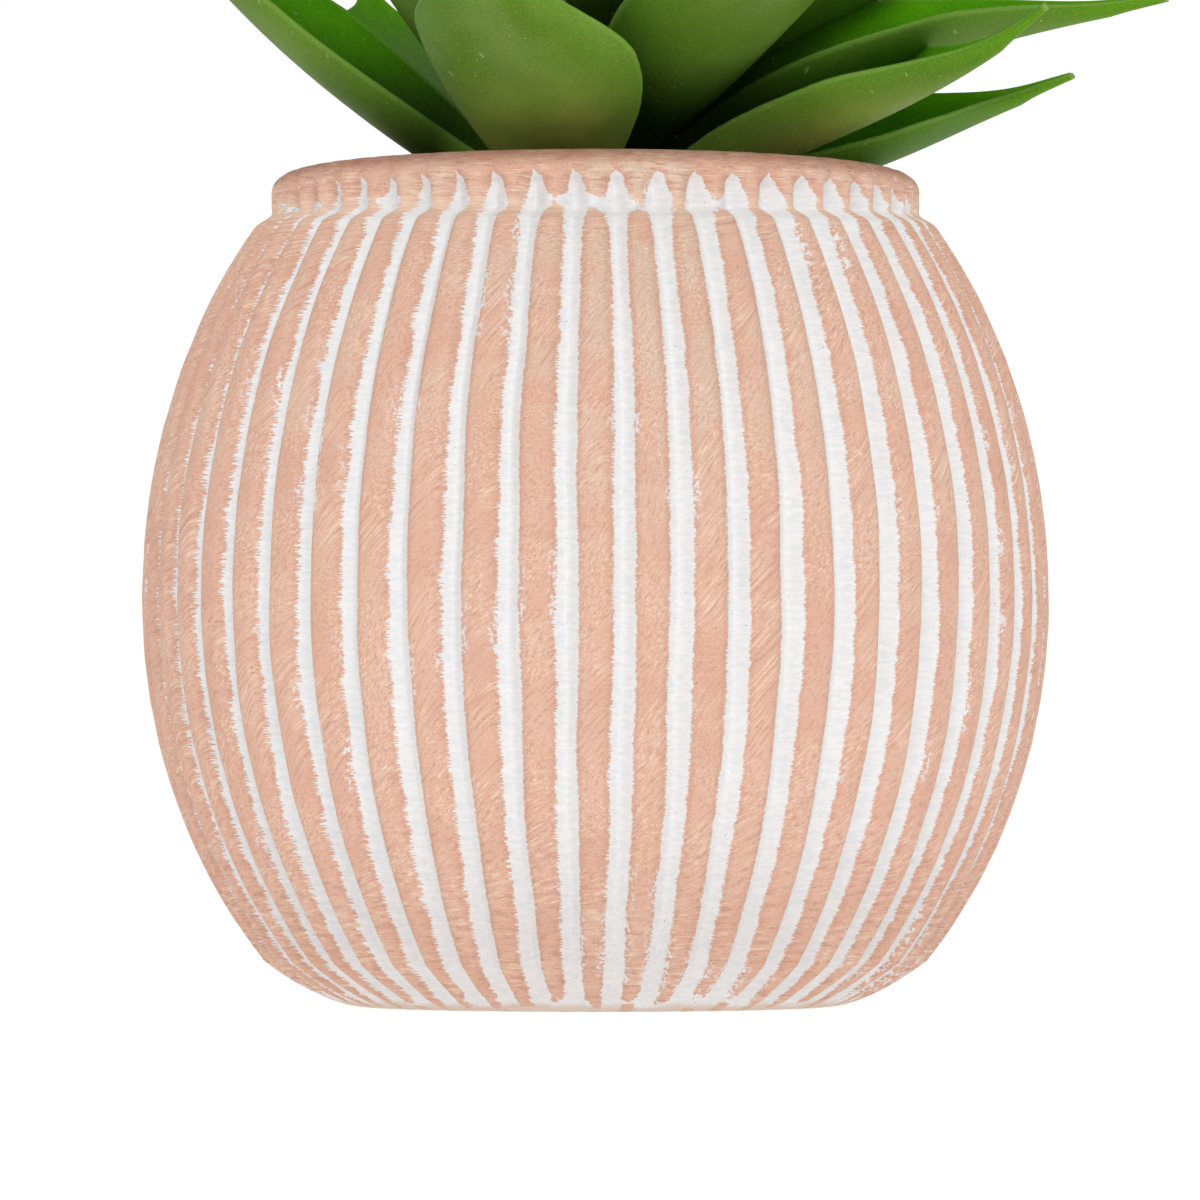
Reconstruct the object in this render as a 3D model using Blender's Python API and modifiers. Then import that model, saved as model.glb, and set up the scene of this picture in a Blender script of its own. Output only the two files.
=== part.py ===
"""A globe-shaped, ribbed cement pot that holds a rosette of thick, pointed leaves.

Metres, +Z up. The origin is the middle of the pot's flat base. The front is -Y.
"""

import math
import typing

import bmesh
import bpy

MM = 0.001
CLEARANCE = 0.3 * MM

# Pot, outside
POT_HEIGHT = 110.0 * MM
BELLY_RADIUS = 60.0 * MM
BELLY_HEIGHT = 53.7 * MM
BELLY_RISE = 74.5 * MM
BELLY_DROP = 70.0 * MM
BASE_RADIUS = 31.5 * MM
FOOT_HEIGHT = 6.0 * MM
FOOT_BULGE = 0.65
NECK_HEIGHT = 104.5 * MM
BAND_RADIUS = 43.0 * MM
BAND_FOOT = 1.5 * MM
SHOULDER_HEIGHT = 107.2 * MM
LIP_RADIUS = 39.5 * MM

# Pot, inside
MOUTH_RADIUS = 36.0 * MM
WALL = 8.0 * MM
FLOOR = 9.0 * MM
NECK_DEPTH = 9.0 * MM
CUTTER_OVERSHOOT = 2.0 * MM
INSIDE_STEPS = 40
INSIDE_LEVELS = 6

# Ribs, counted round the pot, with one groove just to the right of the front
RIB_COUNT = 52
FIRST_GROOVE = math.radians(3.0)
GROOVE_DEPTH = 1.7 * MM
GROOVE_FOOT = 3.0 * MM
GROOVE_TOP = 107.8 * MM
GROOVE_SHARPNESS = 1.3
POINTS_PER_RIB = 4
BODY_LEVELS = 8

# Soil and stem
SOIL_TOP = 101.0 * MM
SOIL_MOUND = 1.0 * MM
MOUND_SHARE = 0.6
STEM_RADIUS = 5.7 * MM
STEM_FOOT = 62.0 * MM
STEM_SHOULDER = 115.0 * MM
STEM_TOP = 137.0 * MM
STEM_TOP_RADIUS = 2.6 * MM
STEM_ROUNDING = 2.0 * MM
STEM_CROWN = 0.6
STEM_STEPS = 24

# Leaves
BLADE_THICKNESS = 3.4 * MM
EDGE_THICKNESS = 0.9 * MM
LEAST_THICKNESS = 0.5 * MM
THICKNESS_PER_WIDTH = 1.2
ROOT_THICKNESS = 0.6
ROOT_END = 0.22
BLADE_TAPER = 0.6
BLADE_TAPER_POWER = 1.6
EDGE_TAPER = 0.2
ROOT_SHARE = 0.13
ROOT_FLARE = 1.1
WIDEST_AT = 0.5
BLADE_END = 0.86
TAIL_FROM = 0.9
TAIL_SHARE = 0.2
TAIL_TAPER = 1.1
TIP_SHARE = 0.02
CUP = math.radians(32.0)
ROOT_CUP = 0.3
TIP_CUP = 0.7
TIP_CUP_FROM = 0.6
ROWS_TOWARDS_TIP = 0.2
LEAF_SEGMENTS_ALONG = 10
LEAF_SEGMENTS_ACROSS = 4
SPINE_STEPS = 64


class Leaf(typing.NamedTuple):
    """One leaf: lengths in millimetres, angles in degrees.

    Azimuth 0 points to the front and 90 to +X. Rise is the slope of the midrib at the
    root, half way out and at the tip. Roll lifts the edge on the leaf's +X side, and bow
    is how far the tip is pushed to that side.
    """

    azimuth: float
    rise: tuple
    length: float
    width: float
    root_height: float
    roll: float = 0.0
    bow: float = 0.0
    thickness: float = BLADE_THICKNESS / MM


OUTER_LEAVES = (
    Leaf(-18, (24, 30, 25), 69, 30.5, 104.6, roll=-9, bow=5),
    Leaf(115, (13, 19, 19), 70, 26, 104.9, roll=-8, bow=1.5),
    Leaf(164, (18, 22, 31), 76, 26, 105.4),
    Leaf(-151, (24, 31, 49), 79, 24, 104.7),
    Leaf(71, (30, 20, 38), 61, 25, 105.4, roll=-1, bow=2),
    Leaf(-107, (25, 40, 47), 83, 27, 106.1, roll=-3),
    Leaf(31, (37, 26, 38), 75, 31, 111.0, roll=8),
    Leaf(137, (54, 16, 22), 81, 29, 113.2, roll=-5),
    Leaf(97, (39, 18, 10), 78, 33, 109.0, roll=8, bow=7),
    Leaf(-66, (49, 52, 47), 76, 28, 109.5, roll=-2),
    Leaf(-171, (54, 48, 46), 76, 27, 114.9),
    Leaf(60, (46, 42, 44), 70, 24, 115.0),
    Leaf(-20, (60, 55, 54), 72, 26, 115.2),
)

# The upper whorls run evenly from the first of these two leaves to the last
INNER_LEAVES = 12
GOLDEN_ANGLE = 137.5
FIRST_INNER_LEAF = Leaf(-112, (66, 62, 64), 68, 26, 117.5, thickness=3.2)
LAST_INNER_LEAF = Leaf(-112, (85, 85, 87), 33, 10.5, 133, thickness=1.7)


def smooth_step(x):
    """Runs smoothly from 0 to 1 as x does, and stays level outside."""
    x = min(1.0, max(0.0, x))
    return x * x * (3.0 - 2.0 * x)


def mix(a, b, share):
    return a + (b - a) * share


def clear_scene():
    for obj in list(bpy.data.objects):
        bpy.data.objects.remove(obj, do_unlink=True)


def make_collection(name):
    collection = bpy.data.collections.new(name)
    bpy.context.scene.collection.children.link(collection)
    return collection


def make_material(name, colour, roughness):
    material = bpy.data.materials.new(name)
    material.use_nodes = True
    shader = material.node_tree.nodes["Principled BSDF"]
    shader.inputs["Base Color"].default_value = (*colour, 1.0)
    shader.inputs["Roughness"].default_value = roughness
    shader.inputs["Metallic"].default_value = 0.0
    return material


def add_object(name, mesh, collection, material=None):
    obj = bpy.data.objects.new(name, mesh)
    collection.objects.link(obj)
    if material:
        mesh.materials.append(material)
    return obj


def turned_mesh(name, profile, steps):
    """The closed mesh that a profile, run from top to bottom, sweeps round the Z axis."""
    bm = bmesh.new()
    points = [bm.verts.new((radius, 0.0, height)) for radius, height in profile]
    for upper, lower in zip(points, points[1:]):
        bm.edges.new((upper, lower))
    mesh = bpy.data.meshes.new(name)
    bm.to_mesh(mesh)
    bm.free()
    blank = bpy.data.objects.new(name, mesh)
    bpy.context.scene.collection.objects.link(blank)
    screw = blank.modifiers.new("Turn", "SCREW")
    screw.steps = steps
    screw.render_steps = steps
    screw.use_merge_vertices = True
    screw.merge_threshold = 0.00001
    bpy.context.view_layer.update()
    turned = bpy.data.meshes.new_from_object(blank.evaluated_get(bpy.context.evaluated_depsgraph_get()))
    bpy.data.objects.remove(blank, do_unlink=True)
    return turned


def pot_radius(height):
    """The outer radius over the ridges of the ribs, from the base to the rim band."""
    if height >= NECK_HEIGHT:
        return BAND_RADIUS
    half = BELLY_RISE if height > BELLY_HEIGHT else BELLY_DROP
    drop = height - BELLY_HEIGHT
    radius = BELLY_RADIUS * math.sqrt(1.0 - (drop / half) ** 2)
    if height >= FOOT_HEIGHT:
        return radius
    foot_radius = pot_radius(FOOT_HEIGHT)
    return mix(BASE_RADIUS, foot_radius, (height / FOOT_HEIGHT) ** FOOT_BULGE)


def pot_profile():
    """The outside of the pot, from the middle of its top down to the middle of its base."""
    lip_drop = POT_HEIGHT - SHOULDER_HEIGHT
    lip_width = BAND_RADIUS - LIP_RADIUS
    profile = [(0.0, POT_HEIGHT)]
    for share in (0.0, 0.55, 1.0):
        angle = share * math.pi / 2
        height = SHOULDER_HEIGHT + lip_drop * math.cos(angle)
        profile.append((LIP_RADIUS + lip_width * math.sin(angle), height))
    profile.append((BAND_RADIUS, NECK_HEIGHT))
    top = NECK_HEIGHT - BAND_FOOT
    for level in range(BODY_LEVELS + 1):
        height = mix(top, FOOT_HEIGHT, level / BODY_LEVELS)
        profile.append((pot_radius(height), height))
    profile.append((pot_radius(0.2 * FOOT_HEIGHT), 0.2 * FOOT_HEIGHT))
    profile.append((BASE_RADIUS, 0.0))
    profile.append((0.0, 0.0))
    return profile


def groove_depth(height):
    """How deep the grooves are at a height: they fade out at the foot and below the lip."""
    foot = smooth_step(height / GROOVE_FOOT)
    top = smooth_step((GROOVE_TOP - height) / (GROOVE_TOP - NECK_HEIGHT))
    return GROOVE_DEPTH * foot * top


def rib_form(turn):
    """0 at the crest of a rib and 1 at the bottom of a groove. Turn counts ribs."""
    from_groove = abs(turn - round(turn)) * 2.0
    return (1.0 - from_groove) ** GROOVE_SHARPNESS


def cut_ribs(mesh):
    """Presses the grooves into the turned pot, by moving its points towards the axis."""
    for vertex in mesh.vertices:
        radius = math.hypot(vertex.co.x, vertex.co.y)
        if radius < BASE_RADIUS / 2:
            continue
        turn = math.atan2(vertex.co.x, -vertex.co.y) / (2.0 * math.pi / RIB_COUNT)
        shrink = 1.0 - groove_depth(vertex.co.z) * rib_form(turn) / radius
        vertex.co.x *= shrink
        vertex.co.y *= shrink


def inside_radius(height):
    """The radius of the pot's hollow: an even wall in the body, and a straight mouth."""
    throat = POT_HEIGHT - NECK_DEPTH
    belly = pot_radius(min(height, throat)) - WALL
    neck = smooth_step((height - throat) / NECK_DEPTH * 2.0 + 1.0)
    return mix(belly, MOUTH_RADIUS, neck)


def hollow_profile(gap=0.0):
    """The side of the hollow below the soil's top, from top to bottom, less a gap."""
    profile = []
    for level in range(INSIDE_LEVELS + 1):
        height = mix(SOIL_TOP, FLOOR, level / INSIDE_LEVELS)
        profile.append((inside_radius(height) - gap, max(height, FLOOR + gap)))
    return profile


def make_pot(collection, cutters):
    material = make_material("cement", (0.76, 0.47, 0.36), 0.9)
    mesh = turned_mesh("pot", pot_profile(), RIB_COUNT * POINTS_PER_RIB)
    cut_ribs(mesh)
    pot = add_object("pot", mesh, collection, material)
    pot.rotation_euler.z = FIRST_GROOVE
    above = POT_HEIGHT + CUTTER_OVERSHOOT
    throat = POT_HEIGHT - NECK_DEPTH / 2
    profile = [(0.0, above), (MOUTH_RADIUS, above), (MOUTH_RADIUS, throat)]
    profile += hollow_profile()
    profile.append((0.0, FLOOR))
    hollow = add_object("pot_hollow", turned_mesh("pot_hollow", profile, INSIDE_STEPS), cutters)
    hollow.hide_render = True
    hollow.display_type = "WIRE"
    cut = pot.modifiers.new("Hollow", "BOOLEAN")
    cut.object = hollow
    cut.operation = "DIFFERENCE"
    pot.data.shade_smooth()
    return pot


def make_soil(collection):
    """The fill of the pot, with a plain hole that the stem stands in."""
    material = make_material("soil", (0.045, 0.030, 0.020), 0.95)
    hole = STEM_RADIUS + CLEARANCE
    bottom = STEM_FOOT - CLEARANCE
    profile = [(0.0, bottom), (hole, bottom), (hole, SOIL_TOP + SOIL_MOUND)]
    profile.append((MOUND_SHARE * MOUTH_RADIUS, SOIL_TOP + MOUND_SHARE * SOIL_MOUND))
    profile += hollow_profile(CLEARANCE)
    profile.append((0.0, FLOOR + CLEARANCE))
    soil = add_object("soil", turned_mesh("soil", profile, INSIDE_STEPS), collection, material)
    soil.data.shade_smooth()
    return soil


def stem_radius(height):
    """The stem is straight up to its shoulder, and then tapers to its top."""
    taper = (height - STEM_SHOULDER) / (STEM_TOP - STEM_SHOULDER)
    return mix(STEM_RADIUS, STEM_TOP_RADIUS, min(1.0, max(0.0, taper)))


def make_stem(collection):
    material = make_material("stem", (0.16, 0.26, 0.05), 0.7)
    crown = (STEM_CROWN * STEM_TOP_RADIUS, STEM_TOP - STEM_ROUNDING / 4)
    profile = [(0.0, STEM_TOP), crown]
    profile.append((STEM_TOP_RADIUS, STEM_TOP - STEM_ROUNDING))
    profile.append((STEM_RADIUS, STEM_SHOULDER))
    profile.append((STEM_RADIUS, STEM_FOOT))
    profile.append((0.0, STEM_FOOT))
    stem = add_object("stem", turned_mesh("stem", profile, STEM_STEPS), collection, material)
    stem.data.shade_smooth()
    return stem


def inner_leaves():
    """The upper whorls: each leaf turns by the golden angle, steeper and smaller than the last."""
    first = FIRST_INNER_LEAF
    last = LAST_INNER_LEAF
    leaves = []
    for index in range(INNER_LEAVES):
        share = index / (INNER_LEAVES - 1)
        leaf = Leaf(
            azimuth=first.azimuth + GOLDEN_ANGLE * index,
            rise=tuple(mix(a, b, share) for a, b in zip(first.rise, last.rise)),
            length=mix(first.length, last.length, share),
            width=mix(first.width, last.width, share),
            root_height=mix(first.root_height, last.root_height, share),
            thickness=mix(first.thickness, last.thickness, share),
        )
        leaves.append(leaf)
    return leaves


def leaf_rise(leaf, along):
    """The slope of the midrib, on a parabola through its three given angles."""
    root, middle, tip = leaf.rise
    slope = root * (1.0 - along) * (1.0 - 2.0 * along)
    slope += middle * 4.0 * along * (1.0 - along)
    slope += tip * along * (2.0 * along - 1.0)
    return math.radians(slope)


def leaf_spine(leaf):
    """Distance from the axis, height and slope of the midrib, at even steps along it."""
    step = leaf.length * MM / SPINE_STEPS
    reach = stem_radius(leaf.root_height * MM) + CLEARANCE
    height = 0.0
    spine = []
    for index in range(SPINE_STEPS + 1):
        rise = leaf_rise(leaf, index / SPINE_STEPS)
        spine.append((reach, height, rise))
        middle = leaf_rise(leaf, (index + 0.5) / SPINE_STEPS)
        reach += math.cos(middle) * step
        height += math.sin(middle) * step
    return spine


def leaf_half_width(leaf, along):
    """Half the width: narrow at the root, widest half way, drawn out to a point."""
    if along <= WIDEST_AT:
        share = mix(ROOT_SHARE, 1.0, math.sin(along / WIDEST_AT * math.pi / 2) ** ROOT_FLARE)
    else:
        beyond = (along - WIDEST_AT) / (1.0 - WIDEST_AT)
        blade = max(0.0, 1.0 - (beyond / BLADE_END) ** 2)
        tail = TAIL_SHARE * (1.0 - beyond) ** TAIL_TAPER + TIP_SHARE
        share = mix(blade, tail, smooth_step(beyond / TAIL_FROM))
    return share * leaf.width * MM / 2


def leaf_thickness(leaf, along, across, half_width):
    """The blade is thickest at the midrib and thins to its edges and its tip."""
    root = mix(ROOT_THICKNESS, 1.0, smooth_step(along / ROOT_END))
    taper = 1.0 - BLADE_TAPER * along**BLADE_TAPER_POWER
    middle = leaf.thickness * MM * taper * root
    middle = min(middle, LEAST_THICKNESS + THICKNESS_PER_WIDTH * half_width)
    edge = min(middle, EDGE_THICKNESS * (1.0 - EDGE_TAPER * along))
    return mix(middle, edge, across * across)


def leaf_cup(along):
    """Half the angle that the channelled blade bends through, from edge to edge."""
    near_root = ROOT_CUP * (1.0 - smooth_step(along / WIDEST_AT))
    near_tip = TIP_CUP * smooth_step((along - TIP_CUP_FROM) / (1.0 - TIP_CUP_FROM))
    return CUP * (1.0 + near_root + near_tip)


def leaf_point(leaf, spine, along, across):
    """A point of the leaf's upper face, for a leaf that points to the front."""
    place = along * SPINE_STEPS
    index = min(int(place), SPINE_STEPS - 1)
    share = place - index
    reach, height, rise = (mix(a, b, share) for a, b in zip(spine[index], spine[index + 1]))
    half_width = leaf_half_width(leaf, along)
    cup = leaf_cup(along)
    bend = cup * across
    sideways = half_width * math.sin(bend) / math.sin(cup)
    lift = half_width * (1.0 - math.cos(bend)) / math.sin(cup)
    roll = math.radians(leaf.roll) * smooth_step(along / 0.5)
    x = sideways * math.cos(roll) - lift * math.sin(roll)
    up = sideways * math.sin(roll) + lift * math.cos(roll)
    skew = 2.0 * leaf.bow * along / leaf.length
    y = -reach + up * math.sin(rise) + x * skew * math.cos(rise)
    z = height + up * math.cos(rise) - x * skew * math.sin(rise)
    return (x + leaf.bow * MM * along * along, y, z)


def leaf_mesh(name, leaf):
    """The upper face of the leaf, and each point's share of the greatest thickness."""
    spine = leaf_spine(leaf)
    bm = bmesh.new()
    bmesh.ops.create_grid(
        bm,
        x_segments=LEAF_SEGMENTS_ACROSS,
        y_segments=LEAF_SEGMENTS_ALONG,
        size=0.5,
    )
    shares = []
    for vertex in bm.verts:
        across = -2.0 * vertex.co.x
        row = vertex.co.y + 0.5
        along = row * (1.0 + ROWS_TOWARDS_TIP * (1.0 - row))
        half_width = leaf_half_width(leaf, along)
        thickness = leaf_thickness(leaf, along, across, half_width)
        shares.append(thickness / (leaf.thickness * MM))
        vertex.co = leaf_point(leaf, spine, along, across)
    mesh = bpy.data.meshes.new(name)
    bm.to_mesh(mesh)
    bm.free()
    return mesh, shares


def make_leaf(name, leaf, collection, parent, material):
    mesh, shares = leaf_mesh(name, leaf)
    obj = add_object(name, mesh, collection, material)
    obj.parent = parent
    obj.location.z = leaf.root_height * MM
    obj.rotation_euler.z = math.radians(leaf.azimuth)
    group = obj.vertex_groups.new(name="thickness")
    for index, share in enumerate(shares):
        group.add([index], share, "REPLACE")
    shell = obj.modifiers.new("Blade", "SOLIDIFY")
    shell.thickness = leaf.thickness * MM
    shell.offset = -1.0
    shell.vertex_group = group.name
    shell.thickness_vertex_group = 0.0
    mesh.shade_smooth()
    return obj


def make_rosette(collection):
    material = make_material("leaf", (0.13, 0.27, 0.05), 0.42)
    rosette = bpy.data.objects.new("rosette", None)
    collection.objects.link(rosette)
    for number, leaf in enumerate([*OUTER_LEAVES, *inner_leaves()], start=1):
        make_leaf(f"leaf_{number:02d}", leaf, collection, rosette, material)


def main():
    clear_scene()
    collection = make_collection("potted_succulent")
    cutters = make_collection("cutters")
    make_pot(collection, cutters)
    make_soil(collection)
    make_stem(collection)
    make_rosette(collection)


main()
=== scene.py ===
"""The looks of a potted succulent: a ribbed, whitewashed cement pot and a rosette of thick leaves.

Metres, +Z up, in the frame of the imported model: the origin is the middle of the pot's flat base,
and the front is -Y. The named sizes of the pot and the leaves are in millimetres, and so is every
place and height in the materials. The camera and the lamp are in metres.
"""

import math
import typing

import bmesh
import bpy
import numpy as np
from mathutils import Matrix, Vector, noise


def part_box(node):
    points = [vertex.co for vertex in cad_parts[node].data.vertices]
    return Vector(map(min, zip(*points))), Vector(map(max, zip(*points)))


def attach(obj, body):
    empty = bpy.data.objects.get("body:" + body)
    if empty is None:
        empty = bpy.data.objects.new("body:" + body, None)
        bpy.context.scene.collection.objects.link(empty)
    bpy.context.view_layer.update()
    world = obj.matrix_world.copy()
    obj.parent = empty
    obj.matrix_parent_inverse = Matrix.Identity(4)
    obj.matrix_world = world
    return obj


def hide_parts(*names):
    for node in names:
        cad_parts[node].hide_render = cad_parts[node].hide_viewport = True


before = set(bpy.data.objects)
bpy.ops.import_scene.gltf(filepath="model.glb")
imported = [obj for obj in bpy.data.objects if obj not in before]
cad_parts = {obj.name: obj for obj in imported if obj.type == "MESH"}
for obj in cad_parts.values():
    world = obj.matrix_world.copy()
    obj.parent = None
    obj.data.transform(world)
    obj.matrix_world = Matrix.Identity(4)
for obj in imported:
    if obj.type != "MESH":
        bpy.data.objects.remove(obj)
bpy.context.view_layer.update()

MM = 0.001

# The pot's outside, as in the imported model
POT_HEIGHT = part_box("pot")[1].z / MM
BELLY_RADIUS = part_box("pot")[1].x / MM
BELLY_HEIGHT = 53.7
BELLY_RISE = 74.5
BELLY_DROP = 70.0
BASE_RADIUS = 31.5
FOOT_HEIGHT = 6.0
FOOT_BULGE = 0.65
NECK_HEIGHT = 104.5
BAND_RADIUS = 43.0
SHOULDER_HEIGHT = 107.2
LIP_RADIUS = 39.5
INNER_LIP_RADIUS = 38.7
INNER_LIP_DROP = 2.0
MOUTH_RADIUS = 36.0
SOIL_TOP = 101.0
BELOW_BAND = 4.4
FOOT_ROWS = (0.8, 0.6, 0.42, 0.26, 0.13, 0.04, 0.0)

# Ribs and grooves: a groove's sides are steepest half way up, and the ribs are slightly crowned
RIB_COUNT = 52
FIRST_GROOVE = math.radians(2.8)
GROOVE_DEPTH = 1.9
GROOVE_HALF_WIDTH = 2.35
RIB_CROWN = 0.4
GROOVE_FOOT = 3.0
GROOVE_TOP = 107.8
GROOVE_END = 105.4
POINTS_PER_RIB = 18
POINTS_DRAWN_IN = 0.06

# The hand-cut ribs stand a little further round on the right of the front than an even
# spacing would put them
RIB_DRIFT = math.radians(1.5)
DRIFT_FROM = 0.55

# The rim band reaches lower at the front. Below its crease the ribs start with round shoulders
BAND_DIP = 2.1
SHOULDER_DROP = 1.8
SHOULDER_POWER = 0.7
CREASE_DEPTH = 0.08
CREASE_WIDTH = 0.7

# Hand-made unevenness: how large it is, and the size of its waves
DEPTH_SWING = 0.2
SKIN_SWING = 0.1
RIB_SWING = 0.1
WIDE_WAVE = 9.0
TALL_WAVE = 14.0
DEPTH_WAVES = 1.7
SKIN_WAVE = 2.5
SKIN_TALL_WAVE = 3.5

# The whitewash: half the width of a stripe, how far stripes stand to the right, and where they end
STRIPE_HALF_WIDTH = 0.98
STRIPE_LEAN = 0.3
TIP_HEIGHT = 107.1

# The rosette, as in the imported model
STEM_RADIUS = 5.7
STEM_SHOULDER = 115.0
STEM_TOP = 137.0
STEM_TOP_RADIUS = 2.6
CLEARANCE = 0.3
BLADE_THICKNESS = 3.4
EDGE_THICKNESS = 0.9
LEAST_THICKNESS = 0.5
THICKNESS_PER_WIDTH = 1.2
ROOT_THICKNESS = 0.6
ROOT_END = 0.22
BLADE_TAPER = 0.6
BLADE_TAPER_POWER = 1.6
EDGE_TAPER = 0.2
EDGE_ROUNDING = 14
ROOT_SHARE = 0.13
ROOT_FLARE = 1.1
WIDEST_AT = 0.5
BLADE_END = 0.86
TAIL_FROM = 0.9
TAIL_SHARE = 0.2
TAIL_TAPER = 1.1
TIP_SHARE = 0.02
CUP = math.radians(32.0)
ROOT_CUP = 0.3
TIP_CUP = 0.7
TIP_CUP_FROM = 0.6
BURR_SIZE = 0.1
BURR_LENGTH = 0.9
LOBE_LENGTH = 1.5
SPINE_STEPS = 64
SEED_STEP = 3.7
ROWS_ALONG_LEAF = 84
POINTS_ACROSS_LEAF = 24

# The camera, at the photograph's viewing angle
CAMERA_PLACE = (0.0006, -1.0, 0.0265)
CAMERA_AIM = (0.0006, 0.0, 0.0536)
CAMERA_LENS = 226.8

# The studio: the brightness of the surroundings, the spans over which it fades from the horizon
# upwards and from the middle sideways, and the lamp in watts and metres
HORIZON_LIGHT = 1.02
CEILING_LIGHT = 0.62
CEILING_FADE = (0.12, 0.55)
SIDE_LIGHT = 0.75
SIDE_FADE = (0.25, 0.9)
KEY_POWER = 8.7
KEY_SIZE = 0.9
KEY_PLACE = (0.12, -1.25, 1.15)
KEY_AIM = (0.0, 0.0, 0.08)
FLOOR_RADIUS = 8.0
FLOOR_GLOW = 0.78


class Leaf(typing.NamedTuple):
    """One leaf: lengths in millimetres, angles in degrees.

    Azimuth 0 points to the front and 90 to +X. Rise is the slope of the midrib at the root, half
    way out and at the tip. Roll lifts the edge on the leaf's +X side, bow is how far the tip is
    pushed to that side, and wave is the size of the lobes along its margins. Spread widens the
    half on the +X side where it is above 0, and the other half where it is below 0. Curl is how
    far the edge on the +X side is bent up, in millimetres. Warmth is how olive the underside is
    low down, and grey how dull the leaf is short of its tip, both from 0 to 1.
    """

    azimuth: float
    rise: tuple
    length: float
    width: float
    root_height: float
    roll: float = 0.0
    bow: float = 0.0
    thickness: float = BLADE_THICKNESS
    wave: float = 0.0
    spread: float = 0.0
    curl: float = 0.0
    warmth: float = 0.3
    grey: float = 0.0


OUTER_LEAVES = (
    Leaf(-18, (24, 30, 25), 69, 30.5, 104.6, roll=-9, bow=5, warmth=0.8),
    Leaf(115, (13, 19, 19), 70, 26, 104.9, roll=8, bow=1.5, curl=2.5, warmth=0.0),
    Leaf(164, (18, 22, 31), 76, 26, 105.4),
    Leaf(-151, (24, 31, 49), 79, 24, 104.7, spread=1.3, grey=0.8),
    Leaf(71, (30, 20, 38), 61, 25, 105.4, roll=4, bow=2, spread=0.4, curl=4, warmth=0.8),
    Leaf(-107, (25, 40, 47), 83, 27, 106.1, roll=-3, spread=-0.12),
    Leaf(31, (37, 26, 38), 75, 31, 111.0, roll=8, warmth=0.0),
    Leaf(137, (54, 16, 22), 81, 29, 113.2, roll=-5, wave=1.2, spread=-0.35),
    Leaf(97, (39, 18, 10), 78, 33, 109.0, roll=8, bow=7, spread=0.3),
    Leaf(-66, (49, 52, 47), 76, 28, 109.5, roll=-2),
    Leaf(-171, (54, 48, 46), 76, 27, 114.9),
    Leaf(60, (46, 42, 44), 70, 24, 115.0, wave=0.9),
    Leaf(-20, (60, 55, 54), 72, 26, 115.2),
)

# The upper whorls run evenly from the first of these two leaves to the last
INNER_LEAVES = 12
GOLDEN_ANGLE = 137.5
FIRST_INNER_LEAF = Leaf(-112, (66, 62, 64), 68, 26, 117.5, thickness=3.2)
LAST_INNER_LEAF = Leaf(-112, (85, 85, 87), 33, 10.5, 133, thickness=1.7)


def smooth_step(x):
    """Runs smoothly from 0 to 1 as x does, and stays level outside."""
    x = np.clip(x, 0.0, 1.0)
    return x * x * (3.0 - 2.0 * x)


def mix(a, b, share):
    return a + (b - a) * share


def bump(x, middle, width):
    """1 at the middle, falling off to 0 on both sides."""
    return math.exp(-(((x - middle) / width) ** 2))


def colour(red, green, blue):
    """A screen colour from 0 to 255 as the linear colour that a shader takes."""
    parts = []
    for part in (red, green, blue):
        part /= 255.0
        parts.append(part / 12.92 if part <= 0.04045 else ((part + 0.055) / 1.055) ** 2.4)
    return (*parts, 1.0)


class Wire:
    """A value in a shader. Arithmetic on it adds Math nodes."""

    def __init__(self, shader, socket):
        self.shader = shader
        self.socket = socket

    def __add__(self, other):
        return self.shader.math("ADD", self, other)

    def __sub__(self, other):
        return self.shader.math("SUBTRACT", self, other)

    def __rsub__(self, other):
        return self.shader.math("SUBTRACT", other, self)

    def __mul__(self, other):
        return self.shader.math("MULTIPLY", self, other)

    def __truediv__(self, other):
        return self.shader.math("DIVIDE", self, other)

    __radd__ = __add__
    __rmul__ = __mul__


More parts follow.
